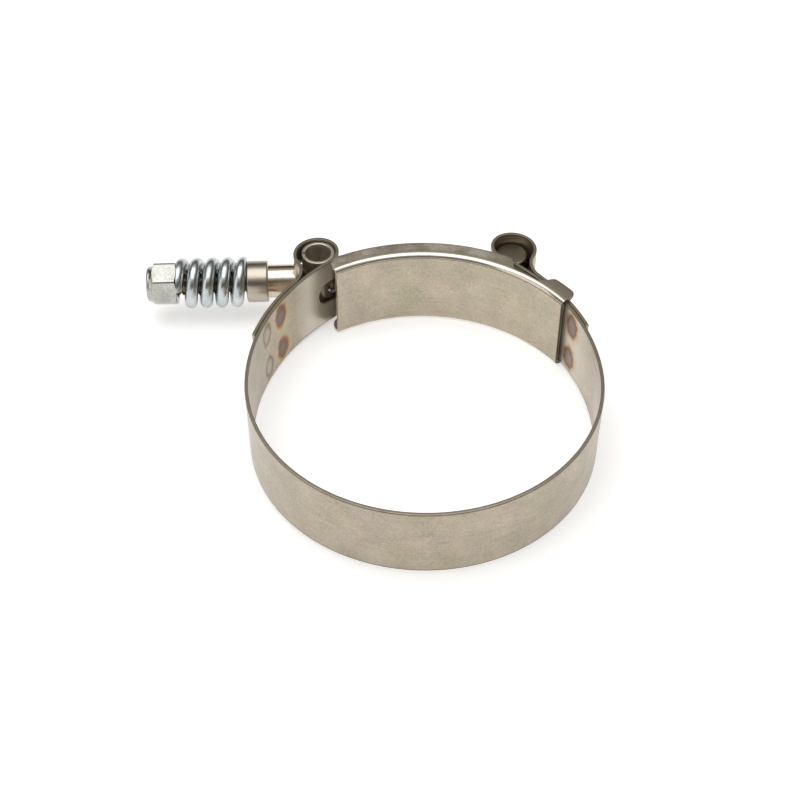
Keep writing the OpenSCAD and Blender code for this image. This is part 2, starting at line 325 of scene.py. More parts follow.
def linear(code):
    """An sRGB hex colour as linear RGBA."""
    c = np.array([int(code[i:i + 2], 16) for i in (1, 3, 5)]) / 255
    c = np.where(c <= 0.04045, c / 12.92, ((c + 0.055) / 1.055) ** 2.4)
    return (*c.tolist(), 1.0)


def add(tree, kind, inputs=None, **settings):
    """Adds a node, sets its properties, and sets or links its inputs by name or number."""
    made = tree.nodes.new(kind)
    for key, value in settings.items():
        if key == "stops":
            ramp = made.color_ramp.elements
            while len(ramp) < len(value):
                ramp.new(0.5)
            for element, (place, code) in zip(ramp, value):
                element.position = place
                element.color = linear(code)
        else:
            setattr(made, key, value)
    for key, value in (inputs or {}).items():
        if isinstance(value, bpy.types.NodeSocket):
            tree.links.new(value, made.inputs[key])
        else:
            made.inputs[key].default_value = value
    return made


def new_material(name):
    """An empty node material with its output and shader joined."""
    made = bpy.data.materials.new(name)
    made.use_nodes = True
    tree = made.node_tree
    tree.nodes.clear()
    shader = add(tree, "ShaderNodeBsdfPrincipled")
    add(tree, "ShaderNodeOutputMaterial", {"Surface": shader.outputs[0]})
    return made, tree, shader


def per_metre(size_mm):
    """Noise scale that gives spots of about this size on coordinates in metres."""
    return 1.0 / (size_mm * MM)


def weld_tint(tree, place, base):
    """Heat colours round the spot welds, over a base colour: a grey core, a brown ring and a straw halo where
    the weld was hot, and only a thin dark ring where it was wiped clean."""
    # In radii of a weld: how ragged its edge is, how far the ramps reach, and the zone where the tint fades
    ragged_by, ramp_reach, fade_from, fade_to = 0.35, 2.5, 1.0, 2.0
    hot = [(0.0, "#7A6A62"), (0.24, "#69584F"), (0.35, "#7A4C2A"),
           (0.42, "#9A6A3C"), (0.56, "#C4AB80"), (0.8, "#BFB3A0")]
    wiped = [(0.0, "#B3A798"), (0.25, "#A4978A"), (0.34, "#54453C"),
             (0.40, "#7B634C"), (0.52, "#BDAC8E"), (0.8, "#BFB3A0")]
    near = add(tree, "ShaderNodeAttribute", attribute_name="weld_near").outputs["Fac"]
    force = add(tree, "ShaderNodeAttribute", attribute_name="weld_force").outputs["Fac"]
    clean = add(tree, "ShaderNodeAttribute", attribute_name="weld_clean").outputs["Fac"]
    ragged = add(tree, "ShaderNodeTexNoise", {"Vector": place, "Scale": per_metre(1.6), "Detail": 3.0})
    edge = add(tree, "ShaderNodeMath", {
        0: ragged.outputs["Fac"], 1: 2 * ragged_by, 2: -ragged_by}, operation="MULTIPLY_ADD")
    reach = add(tree, "ShaderNodeMath", {0: near, 1: edge.outputs[0]}, operation="ADD")
    scaled = add(tree, "ShaderNodeMath", {0: reach.outputs[0], 1: 1 / ramp_reach}, operation="MULTIPLY")
    hot_ramp = add(tree, "ShaderNodeValToRGB", {"Fac": scaled.outputs[0]}, stops=hot)
    wiped_ramp = add(tree, "ShaderNodeValToRGB", {"Fac": scaled.outputs[0]}, stops=wiped)
    tint = add(tree, "ShaderNodeMix", {
        0: clean, 6: hot_ramp.outputs["Color"], 7: wiped_ramp.outputs["Color"]}, data_type="RGBA")
    share = add(tree, "ShaderNodeMapRange", {
        "Value": reach.outputs[0], "From Min": fade_from, "From Max": fade_to, "To Min": 0.95, "To Max": 0.0})
    amount = add(tree, "ShaderNodeMath", {0: share.outputs[0], 1: force}, operation="MULTIPLY")
    tinted = add(tree, "ShaderNodeMix", {
        0: amount.outputs[0], 6: base, 7: tint.outputs[2]}, data_type="RGBA")
    return tinted.outputs[2]


def rolled_stainless(name, pale, dark, welds):
    """Rolled and pickled stainless strip: satin, warm grey, with fine rolling lines along the strip and a
    cloudy tone, with painted light that makes it paler in places and painted shade by its edges; on the band
    the heat colours of its welds, on the bridge a painted highlight on the outside of the bends, which the
    press has made smoother."""
    low, high, rough_range, pressed_rough = 0.36, 0.64, (0.27, 0.38), 0.12
    made, tree, shader = new_material(name)
    along = add(tree, "ShaderNodeAttribute", attribute_name="along").outputs["Vector"]
    place = add(tree, "ShaderNodeTexCoord").outputs["Object"]
    # Rolling lines 0.35 mm wide and about 14 mm long, coarser than the real ones so that they show
    stretched = add(tree, "ShaderNodeMapping", {"Vector": along, "Scale": (0.025, 1.0, 1.0)})
    lines = add(tree, "ShaderNodeTexNoise", {
        "Vector": stretched.outputs[0], "Scale": per_metre(0.35), "Detail": 3.0})
    clouds = add(tree, "ShaderNodeTexNoise", {
        "Vector": place, "Scale": per_metre(7.0), "Detail": 5.0, "Roughness": 0.65})
    # Fine grain of the pickled surface, about 0.5 mm so that it shows
    grain = add(tree, "ShaderNodeTexNoise", {"Vector": place, "Scale": per_metre(0.5), "Detail": 2.0})
    streaks = add(tree, "ShaderNodeMix", {
        0: 0.65, 2: lines.outputs["Fac"], 3: grain.outputs["Fac"]}, data_type="FLOAT")
    tone = add(tree, "ShaderNodeMix", {
        0: 0.62, 2: clouds.outputs["Fac"], 3: streaks.outputs[0]}, data_type="FLOAT")
    colour = add(tree, "ShaderNodeValToRGB", {"Fac": tone.outputs[0]}, stops=[(low, dark), (high, pale)])
    satin = add(tree, "ShaderNodeMapRange", {
        "Value": tone.outputs[0], "From Min": low, "From Max": high,
        "To Min": rough_range[1], "To Max": rough_range[0]})
    rough = satin.outputs[0]
    # Faint pink and green cast of the oxide film
    cast = add(tree, "ShaderNodeMix", {
        0: 0.08, 6: colour.outputs["Color"], 7: clouds.outputs["Color"]}, data_type="RGBA")
    # Painted light: a paler colour, evenly on the band's legs beside the bridge, where they lie in its shade,
    # and in patches on the bridge's flanges
    rubbed = add(tree, "ShaderNodeAttribute", attribute_name="rubbed").outputs["Fac"]
    if not welds:
        patches = add(tree, "ShaderNodeMapRange", {
            "Value": clouds.outputs["Fac"], "From Min": 0.4, "From Max": 0.6})
        patchy = add(tree, "ShaderNodeMath", {0: rubbed, 1: patches.outputs[0]}, operation="MULTIPLY")
        rubbed = patchy.outputs[0]
    bright = add(tree, "ShaderNodeMix", {
        0: rubbed, 6: cast.outputs[2], 7: linear("#EFE9DD")}, data_type="RGBA")
    base = bright.outputs[2]
    if welds:
        base = weld_tint(tree, place, base)
    else:
        # Painted highlight: a paler colour on the bends' flange side; the pressed bends are also smoother
        burnish = add(tree, "ShaderNodeAttribute", attribute_name="burnish").outputs["Fac"]
        polished = add(tree, "ShaderNodeMix", {0: burnish, 6: base, 7: linear("#E2DDD2")}, data_type="RGBA")
        pressed = add(tree, "ShaderNodeAttribute", attribute_name="pressed").outputs["Fac"]
        smoothed = add(tree, "ShaderNodeMix", {0: pressed, 2: rough, 3: pressed_rough}, data_type="FLOAT")
        base, rough = polished.outputs[2], smoothed.outputs[0]
    # Painted shade: darker by the long edges, and on the bridge also on the tab and at its end by the tab
    rim = add(tree, "ShaderNodeAttribute", attribute_name="rim").outputs["Fac"]
    rim_share = add(tree, "ShaderNodeMath", {0: rim, 1: 0.85}, operation="MULTIPLY")
    edged = add(tree, "ShaderNodeMix", {
        0: rim_share.outputs[0], 6: base, 7: linear("#454138")}, data_type="RGBA")
    bump = add(tree, "ShaderNodeBump", {
        "Height": grain.outputs["Fac"], "Strength": 0.25, "Distance": 0.03 * MM})
    tree.links.new(edged.outputs[2], shader.inputs["Base Color"])
    tree.links.new(rough, shader.inputs["Roughness"])
    tree.links.new(bump.outputs[0], shader.inputs["Normal"])
    # The oxide film scatters a part of the light, so the strip is not a full mirror metal
    shader.inputs["Metallic"].default_value = 0.8
    return made


def machined(name, pale, dark, rough_range, mark_mm, bump_mm,
             stretch=(1.0, 1.0, 1.0), metal=1.0, dulled=None):
    """Turned, rolled or plated metal: two close tones and a roughness that follow fine rings or streaks;
    where the attribute for a dull finish and painted shade is 1 it has a colour and a roughness of its own: a
    duller finish on the spacer's collar, painted shade on the trunnion's outside and on the bolt's crossbar."""
    low, high, dull_rough = 0.35, 0.65, 0.3
    made, tree, shader = new_material(name)
    place = add(tree, "ShaderNodeTexCoord").outputs["Object"]
    stretched = add(tree, "ShaderNodeMapping", {"Vector": place, "Scale": stretch})
    marks = add(tree, "ShaderNodeTexNoise", {
        "Vector": stretched.outputs[0], "Scale": per_metre(mark_mm), "Detail": 3.0})
    clouds = add(tree, "ShaderNodeTexNoise", {"Vector": place, "Scale": per_metre(4.0), "Detail": 3.0})
    tone = add(tree, "ShaderNodeMix", {
        0: 0.5, 2: clouds.outputs["Fac"], 3: marks.outputs["Fac"]}, data_type="FLOAT")
    colour = add(tree, "ShaderNodeValToRGB", {"Fac": tone.outputs[0]}, stops=[(low, dark), (high, pale)])
    rough = add(tree, "ShaderNodeMapRange", {
        "Value": tone.outputs[0], "From Min": low, "From Max": high,
        "To Min": rough_range[1], "To Max": rough_range[0]})
    bump = add(tree, "ShaderNodeBump", {
        "Height": marks.outputs["Fac"], "Strength": 0.2, "Distance": bump_mm * MM})
    base, fuzz = colour.outputs["Color"], rough.outputs[0]
    if dulled:
        dull = add(tree, "ShaderNodeAttribute", attribute_name="dull").outputs["Fac"]
        toned = add(tree, "ShaderNodeMix", {0: dull, 6: base, 7: linear(dulled)}, data_type="RGBA")
        fuzzed = add(tree, "ShaderNodeMix", {0: dull, 2: fuzz, 3: dull_rough}, data_type="FLOAT")
        base, fuzz = toned.outputs[2], fuzzed.outputs[0]
    tree.links.new(base, shader.inputs["Base Color"])
    tree.links.new(fuzz, shader.inputs["Roughness"])
    tree.links.new(bump.outputs[0], shader.inputs["Normal"])
    shader.inputs["Metallic"].default_value = metal
    return made


def natural_nylon():
    """Moulded natural nylon: milky white, half matt, with a faint grain."""
    made, tree, shader = new_material("natural_nylon")
    shader.inputs["Base Color"].default_value = linear("#D9DADA")
    shader.inputs["Roughness"].default_value = 0.42
    place = add(tree, "ShaderNodeTexCoord").outputs["Object"]
    grain = add(tree, "ShaderNodeTexNoise", {"Vector": place, "Scale": per_metre(0.4)})
    bump = add(tree, "ShaderNodeBump", {
        "Height": grain.outputs["Fac"], "Strength": 0.2, "Distance": 0.02 * MM})
    tree.links.new(bump.outputs[0], shader.inputs["Normal"])
    return made


# Pickled stainless strip: satin and warm grey, the bridge a little paler than the band
band_steel = rolled_stainless("rolled_stainless_band", "#BAAF9D", "#9A8E79", welds=True)
bridge_steel = rolled_stainless("rolled_stainless_bridge", "#C5BAA8", "#A49981", welds=False)
# Sheet rolled into a tube: streaks along its length, and painted shade, darker, on its outside round the bolt
trunnion_steel = machined(
    "rolled_stainless_tube", "#E4DDD0", "#C6BCAD", (0.26, 0.36), 0.3, 0.01, (1.0, 1.0, 0.05), 0.8, "#7C7265")
# Lathe-turned stainless: rings round the bolt's axis, the collar duller than the tube
spacer_steel = machined(
    "turned_stainless", "#D8CFC1", "#C2B7A7", (0.12, 0.2), 0.25, 0.006, (1.0, 0.02, 0.02), dulled="#B1A99D")
# Rolled thread, satin, darker than the spacer as painted shade of the slot and loops it lies in; the forged
# crossbar a little darker again, painted shade of the loop's dark inside
bolt_steel = machined(
    "forged_stainless_bolt", "#AEA597", "#8C8276", (0.28, 0.4), 0.8, 0.01, dulled="#948A7B")
# Bright zinc on drawn wire: cool, glossy, with faint draw marks
spring_zinc = machined("bright_zinc_wire", "#D2D6D7", "#B3BBBD", (0.24, 0.34), 0.5, 0.004)
# Bright zinc on a cold-formed nut: pale, glossy and almost even
nut_zinc = machined("bright_zinc_nut", "#BEBEB9", "#A6A59E", (0.18, 0.28), 0.6, 0.004)
nylon = natural_nylon()


# Band

# Steps along the ends in mm and round the ring in degrees, and points across each half of the strip
path_step, ring_step, band_across = 0.55, 0.75, 24
half_slot = SLOT_W / 2
slot_round = LOOP_S - SLOT_REACH
slot_far = LOOP_S + (LOOP_IN_R + HALF_T) * math.radians(LEG_END + SLOT_FAR_A)
# Along the path: the slot's blunt end wall, the strap's thinned end, and the loop's top before the window
slot_wall, end_l, top_l = 0.02, 0.12, 0.2


def slot_half_width(s):
    """Half width of the bolt's slot: a half circle on the leg, straight sides, and a blunt far end with
    rounded corners on the loop."""
    rounded = np.sqrt(np.clip(half_slot ** 2 - np.clip(slot_round - s, 0, None) ** 2, 0, None))
    late = np.clip(s - (slot_far - SLOT_CORNER), 0, SLOT_CORNER)
    blunt = half_slot - SLOT_CORNER + np.sqrt(np.clip(SLOT_CORNER ** 2 - late ** 2, 0, None))
    outside = (s < slot_round - half_slot) | (s > slot_far + slot_wall / 2)
    return np.where(outside, 0.0, np.minimum(rounded, blunt))


def window_half_width(place, s):
    """Half width of the window for the spacer: a circle about the bolt's axis, seen along the bolt, on the
    loop's return side only."""
    reach = (WINDOW_W / 2) ** 2 - (place[:, 1] - BOLT_Y) ** 2
    return np.where((s > BOW_S + top_l) & (s < STRAP_S), np.sqrt(np.clip(reach, 0, None)), 0.0)


# Path points of an end, closer together where the slot is round
round_s = slot_round - half_slot * np.cos(np.radians(np.linspace(0, 90, 14)))
far_s = slot_far - SLOT_CORNER + SLOT_CORNER * np.sin(np.radians(np.linspace(0, 90, 6)))
end_s = np.concatenate([np.arange(0, END_S, path_step), round_s, far_s, [slot_far + slot_wall], ARC_STARTS])
end_s = np.unique(end_s.round(5))
end_s = np.sort(np.append(end_s, end_s[-1] - end_l))

# The window's own path points, closer together where its circle is steep
dense_s = np.linspace(BOW_S, STRAP_S, 900)
dense_place, _ = walk_end(dense_s)
dense_open = window_half_width(dense_place, dense_s) > 0
window_first, window_last = dense_s[dense_open][[0, -1]]
window_mid, window_reach = (window_first + window_last) / 2, (window_last - window_first) / 2
window_s = window_mid + window_reach * np.cos(np.radians(np.linspace(0, 180, 31)))

# The nut's end is the T-head's end mirrored and walked the other way, with the window added
right_place, right_heading = walk_end(end_s)
left_s = np.unique(np.concatenate([end_s, window_s]).round(5))
left_place, left_heading = walk_end(left_s)
left_open = np.maximum(slot_half_width(left_s), window_half_width(left_place, left_s))[::-1]
left_place = (left_place * (-1, 1))[::-1]
left_heading = (left_heading * (1, -1))[::-1]
mid_ring_r = RING_R + HALF_T
ring_length = math.pi * mid_ring_r
ring_turn = np.radians(np.arange(ring_step, 180, ring_step))
ring_place = mid_ring_r * np.stack([-np.cos(ring_turn), -np.sin(ring_turn)], -1)
ring_heading = np.stack([np.sin(ring_turn), -np.cos(ring_turn)], -1)
band_place = np.concatenate([left_place, ring_place, right_place])
band_heading = np.concatenate([left_heading, ring_heading, right_heading])
band_open = np.concatenate([left_open, np.zeros(len(ring_turn)), slot_half_width(end_s)])
band_s = np.concatenate([-left_s[::-1], ring_turn * mid_ring_r, end_s + ring_length])
band_parts, band_z = strip(
    band_place, band_heading, BAND_T * sheared(len(band_s)), BAND_W / 2, band_open, band_across, BAND_EDGE_R)


def weld_field(s, z):
    """Distance from the nearest spot weld, in weld radii, how strongly that weld shows and how far it was
    wiped clean: each weld is an ellipse on the strip's own length and width."""
    long_r, wide_r = 2.2, 3.1
    far_off = 9.0
    # Strength and wiping of each row of welds, on the nut's side and on the T-head's side
    rows = ((WELD_NEAR_A, (1.0, 0.0), (0.85, 0.45)), (WELD_FAR_A, (0.75, 0.9), (1.0, 0.25)))
    nearest = np.full(s.shape, far_off)
    force = np.zeros(s.shape)
    clean = np.zeros(s.shape)
    for gap_a, nut_side, head_side in rows:
        for weld_z in (-WELD_PITCH / 2, WELD_PITCH / 2):
            for at in (leg_s(gap_a), strap_s(gap_a)):
                for weld_s, (strength, wiped) in ((-at, nut_side), (at + ring_length, head_side)):
                    d = np.hypot((s - weld_s) / long_r, (z - weld_z) / wide_r)
                    closer = d < nearest
                    nearest = np.where(closer, d, nearest)
                    force = np.where(closer, strength, force)
                    clean = np.where(closer, wiped, clean)
    return nearest, force, clean


def rubbed_field(s):
    """Painted light, a paler colour, on the legs' inner faces beside the bridge, which lie in its shade: on
    the nut's side 0 by the welds, rising evenly towards the slot; on the T-head's side rising evenly from the
    ring to the welds; 0 past either leg."""
    most = 0.55
    # Distance along each leg and the angles from the gap at which the rubbing begins and is full
    zones = ((-s, 44.5, 37.0), (s - ring_length, 80.0, 64.0))
    rubbed = np.zeros(s.shape)
    for walked, clear_a, full_a in zones:
        share = np.clip((walked - leg_s(clear_a)) / (leg_s(full_a) - leg_s(clear_a)), 0, 1)
        rubbed = np.where((walked > 0) & (walked < LOOP_S), most * share, rubbed)
    return rubbed


def rim_field(z):
    """Painted shade by the band's sheared long edges: 0 on the faces, rising to 1 at both corners of the edge
    and falling again on the edge itself."""
    depth, blend, polished_depth, polish = 0.3, 0.15, 0.02, 0.8
    inside = BAND_W / 2 - np.abs(z)
    dark = np.clip((depth - inside) / blend, 0, 1)
    polished = np.clip((polished_depth - inside) / polished_depth, 0, 1)
    return dark - polish * polished


# Painted light on the legs' inner faces, the first columns of each section
band_rubbed = np.zeros(band_z.shape)
band_rubbed[:, :band_across] = rubbed_field(band_s)[:, None]
band_s_all = both_halves(np.broadcast_to(band_s[:, None], band_z.shape))
band_z_all = np.concatenate([band_z.ravel(), -band_z.ravel()])
weld_near, weld_force, weld_clean = weld_field(band_s_all, band_z_all)
make_piece("clamp_band", band_parts, "clamp", "band", band_steel, attributes={
    "along": np.stack([band_s_all, band_z_all, np.zeros_like(band_z_all)], -1) * MM,
    "weld_near": weld_near,
    "weld_force": weld_force,
    "weld_clean": weld_clean,
    "rubbed": both_halves(band_rubbed),
    "rim": rim_field(band_z_all)})


# Bridge

def flange_top(a):
    """Radius of the flange's outer edge at an angle from the gap: full height, down to the bend in the
    notch with sloped sides, and a quarter circle at the outer corner of either end."""
    low = BRIDGE_R + FLANGE_BEND_R + NOTCH_RIM
    down = np.clip((a - NOTCH_START_A) / NOTCH_SLOPE_A, 0, 1)
    up = np.clip((a - (NOTCH_END_A - NOTCH_SLOPE_A)) / NOTCH_SLOPE_A, 0, 1)
    level = 1 - (down * down * (3 - 2 * down)) + up * up * (3 - 2 * up)
    top = low + (FLANGE_R - low) * level
    for past_end, r in ((a - TAB_END_A, TAB_ROUND), (-PLAIN_END_A - a, PLAIN_ROUND)):
        past = np.clip(np.radians(past_end) * FLANGE_R + r, 0, r)
        top = top - r + np.sqrt(r ** 2 - past ** 2)
    return top


def bridge_section():
    """Mid-line across the channel as (share of the flange's height, radius, z) and its outward normal:
    flange, quarter bend, web, quarter bend, flange."""
    mid_bend_r = FLANGE_BEND_R - BRIDGE_T / 2
    centre_r = BRIDGE_R + FLANGE_BEND_R
    centre_z = CHANNEL_OUT - FLANGE_BEND_R
    t = np.linspace(1, 0, 9)
    one = np.ones(len(t))
    flange = np.stack([t, centre_r * one, (CHANNEL_OUT - BRIDGE_T / 2) * one, 0 * one, one], -1)
    b = np.radians(np.linspace(90, 180, 9))[1:]
    bend_r = centre_r + mid_bend_r * np.cos(b)
    bend_z = centre_z + mid_bend_r * np.sin(b)
    bend = np.stack([0 * b, bend_r, bend_z, np.cos(b), np.sin(b)], -1)
    z = np.linspace(centre_z, 0, 13)[1:]
    one = np.ones(len(z))
    web = np.stack([0 * one, (BRIDGE_R + BRIDGE_T / 2) * one, z, -one, 0 * one], -1)
    upper = np.concatenate([flange, bend, web])
    lower = upper[:-1][::-1] * (1, 1, -1, 1, -1)
    return np.concatenate([upper, lower])


def end_corner(radius, count):
    """Angles from an end of the bridge to points of its rounded outer corner, evenly spread round the arc and
    stopping short of the end itself."""
    arc_a = np.radians(np.linspace(0, 88, count))
    return np.degrees(radius / FLANGE_R) * (1 - np.sin(arc_a))


# Steps in degrees: over the bridge's length, in the notch and at either end
bridge_step, notch_step, end_step = 0.6, 0.3, 0.16
bridge_a = np.unique(np.concatenate([
    np.arange(-PLAIN_END_A, TAB_END_A, bridge_step),
    np.arange(NOTCH_START_A, NOTCH_END_A, notch_step),
    TAB_END_A - end_corner(TAB_ROUND, 12),
    end_corner(PLAIN_ROUND, 16) - PLAIN_END_A,
    [end_step - PLAIN_END_A, TAB_END_A - end_step, TAB_END_A]]).round(4))
section = bridge_section()
up_flange, section_r, section_z, normal_r, normal_z = section.T
rows, across = len(bridge_a), len(section)
top = flange_top(bridge_a) - (BRIDGE_R + FLANGE_BEND_R)
bridge_mid_r = section_r + up_flange * top[:, None]
half = BRIDGE_T / 2 * sheared(rows)[:, None] * sheared(across)
outer = np.stack([bridge_mid_r + half * normal_r, section_z + half * normal_z], -1)
inner = np.stack([bridge_mid_r - half * normal_r, section_z - half * normal_z], -1)
ring_r, ring_z = np.moveaxis(np.concatenate([outer, inner[:, ::-1]], 1), -1, 0)
turn = np.radians(bridge_a)[:, None]
bridge_points = np.stack([ring_r * np.sin(turn), ring_r * np.cos(turn), ring_z], -1)
# Each end is closed by quads from the outer to the inner face
cols = 2 * across
k = np.arange(across - 1)
end_quads = np.stack([k, k + 1, cols - 2 - k, cols - 1 - k], -1)
bridge_quads = np.concatenate([loop_faces(rows, cols), end_quads, end_quads + (rows - 1) * cols])

# Distances along the bridge and across its section laid flat
flat_r = section_r + (FLANGE_H - FLANGE_BEND_R) * up_flange
across_mm = np.concatenate([[0], np.cumsum(np.hypot(np.diff(flat_r), np.diff(section_z)))])
across_all = np.broadcast_to(np.concatenate([across_mm, across_mm[::-1]]), ring_r.shape)
along_all = np.broadcast_to(turn * BRIDGE_R, ring_r.shape)

# The outside of the bends is pressed smooth, and given a painted highlight, a paler colour, on the side of
# the flange
press_gain, press_most, burnish_from, burnish_over = 1.6, 0.9, 0.45, 0.3
bend_share = np.where(up_flange == 0, np.abs(normal_r * normal_z) * 2, 0.0)
flange_side = np.clip((np.abs(normal_z) - burnish_from) / burnish_over, 0, 1)
pressed = np.concatenate([np.clip(bend_share * press_gain, 0, press_most), np.zeros(across)])
burnish = pressed * np.concatenate([flange_side, flange_side])

# Painted light: the flanges paler before the notch. Painted shade: the tab darker, the long edges darker,
# and the end by the tab darkest
flange_gain, rubbed_most, tab_dark, edge_dark, end_dark = 3, 0.9, 0.22, 0.65, 1.0
on_flange = np.clip(np.concatenate([up_flange, up_flange[::-1]]) * flange_gain, 0, 1)
before_notch = np.clip((NOTCH_START_A - bridge_a) / NOTCH_SLOPE_A, 0, 1)
on_tab = np.clip((bridge_a - NOTCH_END_A) / NOTCH_SLOPE_A + 1, 0, 1)
bridge_rubbed = rubbed_most * before_notch[:, None] * on_flange
long_edges = np.zeros(cols)
long_edges[[0, across - 1, across, -1]] = edge_dark
bridge_rim = np.maximum(long_edges, tab_dark * on_tab[:, None] * on_flange)
# Painted shadow: the end by the tab is darkest, for the shadowed gap beside it
bridge_rim[-1] = end_dark
bridge_parts = [(bridge_points, bridge_quads, [])]
make_piece("bridge_tongue", bridge_parts, "bridge", "bridge", bridge_steel, attributes={
    "along": np.stack([along_all.ravel(), across_all.ravel(), np.zeros(along_all.size)], -1) * MM,
    "pressed": np.broadcast_to(pressed, ring_r.shape).ravel(),
    "burnish": np.broadcast_to(burnish, ring_r.shape).ravel(),
    "rubbed": bridge_rubbed.ravel(),
    "rim": bridge_rim.ravel()})


# T-bolt

def crossbar():
    """Round bar along Z with domed rims: radius by height, carried round its axis."""
    bevel, middle_r, sides = 0.6, 0.4, 96
    half_l = CROSSBAR_L / 2
    rim = corner((PIN_R - bevel, half_l - bevel), bevel, 90, 0, 7)
    profile = np.concatenate([[[middle_r, half_l]], rim, rim[::-1] * (1, -1), [[middle_r, -half_l]]])
    a = ring_angles(sides)
    r, z = profile[:, :1], profile[:, 1:]
    rings = np.stack([
        LOOP_X + np.cos(a) * r, BOLT_Y + np.sin(a) * r, np.broadcast_to(z, (len(z), sides))], -1)
    return rings, loop_faces(len(z), sides), end_caps(len(z), sides)


def threaded_shank():
    """Shank along X with a right-hand thread: the radius is the bolt's, less the thread's depth times a
    rounded saw line of the distance along the bolt plus one pitch per turn from Z to Y; the thread fades out
    on the plain part."""
    sides, pitch_steps, plain_steps = 48, 10, 12
    tip_l, lead_l, lead_depth, fade_l = 0.3, 0.6, 0.6, 2.0
    flank, crest = 2.5, 0.12
    x = np.concatenate([
        [BOLT_TIP],
        np.arange(BOLT_TIP + tip_l, THREAD_END, THREAD_PITCH / pitch_steps),
        np.linspace(THREAD_END, LOOP_X, plain_steps)])[:, None]
    a = ring_angles(sides)
    phase = (x / THREAD_PITCH + a / (2 * np.pi)) % 1.0
    groove = np.clip(np.abs(phase - 0.5) * flank - crest, 0, 1)
    fade = np.clip((THREAD_END - x) / fade_l, 0, 1)
    lead = np.clip((x - BOLT_TIP) / lead_l, 0, 1)
    r = BOLT_R - THREAD_DEPTH * groove * fade - lead_depth * (1 - lead)
    return about_bolt(x, r, a), loop_faces(len(x), sides), end_caps(len(x), sides)


bar_part, shank_part = crossbar(), threaded_shank()
# Painted shade on the crossbar, deep inside the loop
on_bar = np.concatenate([np.ones(bar_part[0].size // 3), np.zeros(shank_part[0].size // 3)])
make_piece("t_headed_bolt", [bar_part, shank_part], "clamp", "t_bolt", bolt_steel,
           attributes={"dull": on_bar})


# Trunnion: a strip rolled round to a tube, open at its seam and at the bolt's two holes

# Step round the tube in degrees, and points along each half of it
roll_step, tube_across = 4, 10
tube_mid = PIN_R - TRUNNION_T / 2
seam_half = math.degrees(math.asin(SEAM_W / 2 / tube_mid))
hole_edge = math.degrees(math.asin(HOLE_R / tube_mid))
steep = hole_edge * np.sin(np.radians(np.linspace(0, 90, 16)))
even = np.arange(roll_step / 2 - 180, 180, roll_step)
roll_a = np.unique(np.concatenate([steep, -steep, 180 - steep, steep - 180, even]).round(4))
roll_a = roll_a[np.abs(roll_a) < 180 - seam_half]
roll = np.radians(np.concatenate([[seam_half - 180], roll_a, [180 - seam_half]]))
roll_place = np.array([-LOOP_X, BOLT_Y]) + tube_mid * np.stack([np.cos(roll), np.sin(roll)], -1)
roll_heading = np.stack([-np.sin(roll), np.cos(roll)], -1)
roll_open = np.sqrt(np.clip(HOLE_R ** 2 - (tube_mid * np.sin(roll)) ** 2, 0, None))
roll_thick = np.full(len(roll), TRUNNION_T)
trunnion_parts, roll_z = strip(
    roll_place, roll_heading, roll_thick, TRUNNION_L / 2, roll_open, tube_across, TRUNNION_EDGE_R)
# Painted shade: the outside is darker towards the bolt, deep in the loop, and keeps its own colour at both
# ends
dull_from, dull_full = 7.5, 5.0
outside = np.zeros(roll_z.shape)
outside[:, -tube_across:] = np.clip((dull_from - roll_z[:, -tube_across:]) / (dull_from - dull_full), 0, 1)
make_piece("rolled_trunnion", trunnion_parts, "clamp", "trunnion", trunnion_steel,
           attributes={"dull": both_halves(outside)})


# Spacer

bore_bevel, tube_round, neck_l, neck_r, collar_blend = 0.2, 0.25, 0.1, 0.02, 0.1
spacer_profile = np.concatenate([
    [[HOLE_R, COLLAR_OUT + bore_bevel], [HOLE_R + bore_bevel, COLLAR_OUT]],
    corner((COLLAR_R - COLLAR_ROUND, COLLAR_OUT + COLLAR_ROUND), COLLAR_ROUND, -90, 0),
    corner((COLLAR_R - COLLAR_ROUND, COLLAR_IN - COLLAR_ROUND), COLLAR_ROUND, 0, 90),
    [[TUBE_R + neck_r, COLLAR_IN], [TUBE_R, COLLAR_IN + neck_l]],
    corner((TUBE_R - tube_round, TUBE_END - tube_round), tube_round, 0, 90),
    [[HOLE_R + bore_bevel, TUBE_END], [HOLE_R, TUBE_END - bore_bevel]]])
spacer_part = turned(spacer_profile)
on_collar = np.clip((COLLAR_IN - spacer_part[0][..., 0].ravel()) / collar_blend, 0, 1)
make_piece("collared_spacer", [spacer_part], "clamp", "spacer", spacer_steel,
           attributes={"dull": on_collar})


# Spring

def coil():
    """Left-handed round wire: its centre runs round the bolt while it moves along it, and a circle about the
    centre makes the wire; what would stand past either end is ground flat."""
    turn_steps, sides = 80, 32
    share = np.linspace(0, 1, int(SPRING_TURNS * turn_steps) + 1)[:, None]
    b = ring_angles(sides)
    a = np.radians(COIL_START_A + 360 * SPRING_TURNS * share)
    x = SPRING_OUT + np.clip(SPRING_L * share + WIRE_R * np.sin(b), 0, SPRING_L)
    rings = about_bolt(x, COIL_R + WIRE_R * np.cos(b), a)
    return rings, loop_faces(len(share), sides), end_caps(len(share), sides)


spring_piece = make_piece("coil_spring", [coil()], "spring", "spring", spring_zinc, sharp=50.0)
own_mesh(spring_piece)


# Lock nut

